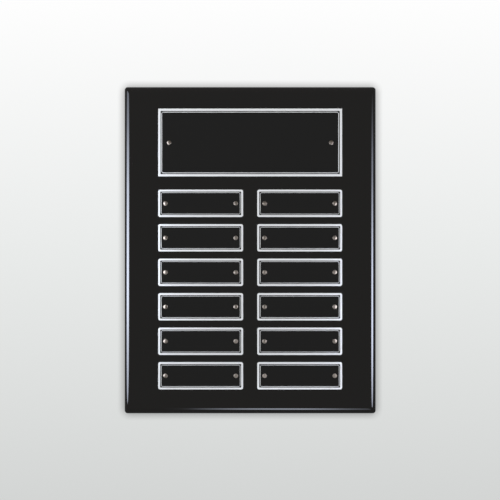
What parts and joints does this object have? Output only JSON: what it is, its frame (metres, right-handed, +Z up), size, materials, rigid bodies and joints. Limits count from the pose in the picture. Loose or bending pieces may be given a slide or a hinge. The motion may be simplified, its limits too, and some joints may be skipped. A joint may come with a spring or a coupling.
{
  "type": "perpetual award plaque",
  "caption": "Black lacquered wall plaque with rounded edges, a wide blank header plate and two columns of small blank name plates, silver-bordered and held by dome-headed pins.",
  "frame": {"origin": "middle of the board's back face, which lies on the wall", "axes": "+X to the viewer's right, +Z up the board, -Y out of the front; +Y is the back face's normal, into the wall"},
  "size_m": [0.254, 0.0182, 0.3302],
  "materials": {
    "lacquered_board": "high-gloss black lacquer on the front and edges, satin black behind",
    "black_coated_aluminium": "gloss black coating with a bare satin silver double border",
    "nickel_plated_steel": "polished nickel plate",
    "zinc_plated_steel": "bright zinc plate"
  },
  "bodies": {
    "plaque": {"board": "lacquered_board", "keyhole_hanger": "zinc_plated_steel", "hanger_screws": "zinc_plated_steel"},
    "header_plate_set": {"header_plate": "black_coated_aluminium", "header_plate_pins": "nickel_plated_steel"},
    "name_plate_01_set": {"name_plate_01": "black_coated_aluminium", "name_plate_01_pins": "nickel_plated_steel"},
    "name_plate_02_set": {"name_plate_02": "black_coated_aluminium", "name_plate_02_pins": "nickel_plated_steel"},
    "name_plate_03_set": {"name_plate_03": "black_coated_aluminium", "name_plate_03_pins": "nickel_plated_steel"},
    "name_plate_04_set": {"name_plate_04": "black_coated_aluminium", "name_plate_04_pins": "nickel_plated_steel"},
    "name_plate_05_set": {"name_plate_05": "black_coated_aluminium", "name_plate_05_pins": "nickel_plated_steel"},
    "name_plate_06_set": {"name_plate_06": "black_coated_aluminium", "name_plate_06_pins": "nickel_plated_steel"},
    "name_plate_07_set": {"name_plate_07": "black_coated_aluminium", "name_plate_07_pins": "nickel_plated_steel"},
    "name_plate_08_set": {"name_plate_08": "black_coated_aluminium", "name_plate_08_pins": "nickel_plated_steel"},
    "name_plate_09_set": {"name_plate_09": "black_coated_aluminium", "name_plate_09_pins": "nickel_plated_steel"},
    "name_plate_10_set": {"name_plate_10": "black_coated_aluminium", "name_plate_10_pins": "nickel_plated_steel"},
    "name_plate_11_set": {"name_plate_11": "black_coated_aluminium", "name_plate_11_pins": "nickel_plated_steel"},
    "name_plate_12_set": {"name_plate_12": "black_coated_aluminium", "name_plate_12_pins": "nickel_plated_steel"}
  },
  "joints": [
    {"name": "header_plate_pull", "type": "slide", "parent": "plaque", "child": "header_plate_set", "axis": [0, -1, 0], "range_m": [0, 0.012]},
    {"name": "name_plate_01_pull", "type": "slide", "parent": "plaque", "child": "name_plate_01_set", "axis": [0, -1, 0], "range_m": [0, 0.012]},
    {"name": "name_plate_02_pull", "type": "slide", "parent": "plaque", "child": "name_plate_02_set", "axis": [0, -1, 0], "range_m": [0, 0.012]},
    {"name": "name_plate_03_pull", "type": "slide", "parent": "plaque", "child": "name_plate_03_set", "axis": [0, -1, 0], "range_m": [0, 0.012]},
    {"name": "name_plate_04_pull", "type": "slide", "parent": "plaque", "child": "name_plate_04_set", "axis": [0, -1, 0], "range_m": [0, 0.012]},
    {"name": "name_plate_05_pull", "type": "slide", "parent": "plaque", "child": "name_plate_05_set", "axis": [0, -1, 0], "range_m": [0, 0.012]},
    {"name": "name_plate_06_pull", "type": "slide", "parent": "plaque", "child": "name_plate_06_set", "axis": [0, -1, 0], "range_m": [0, 0.012]},
    {"name": "name_plate_07_pull", "type": "slide", "parent": "plaque", "child": "name_plate_07_set", "axis": [0, -1, 0], "range_m": [0, 0.012]},
    {"name": "name_plate_08_pull", "type": "slide", "parent": "plaque", "child": "name_plate_08_set", "axis": [0, -1, 0], "range_m": [0, 0.012]},
    {"name": "name_plate_09_pull", "type": "slide", "parent": "plaque", "child": "name_plate_09_set", "axis": [0, -1, 0], "range_m": [0, 0.012]},
    {"name": "name_plate_10_pull", "type": "slide", "parent": "plaque", "child": "name_plate_10_set", "axis": [0, -1, 0], "range_m": [0, 0.012]},
    {"name": "name_plate_11_pull", "type": "slide", "parent": "plaque", "child": "name_plate_11_set", "axis": [0, -1, 0], "range_m": [0, 0.012]},
    {"name": "name_plate_12_pull", "type": "slide", "parent": "plaque", "child": "name_plate_12_set", "axis": [0, -1, 0], "range_m": [0, 0.012]}
  ]
}
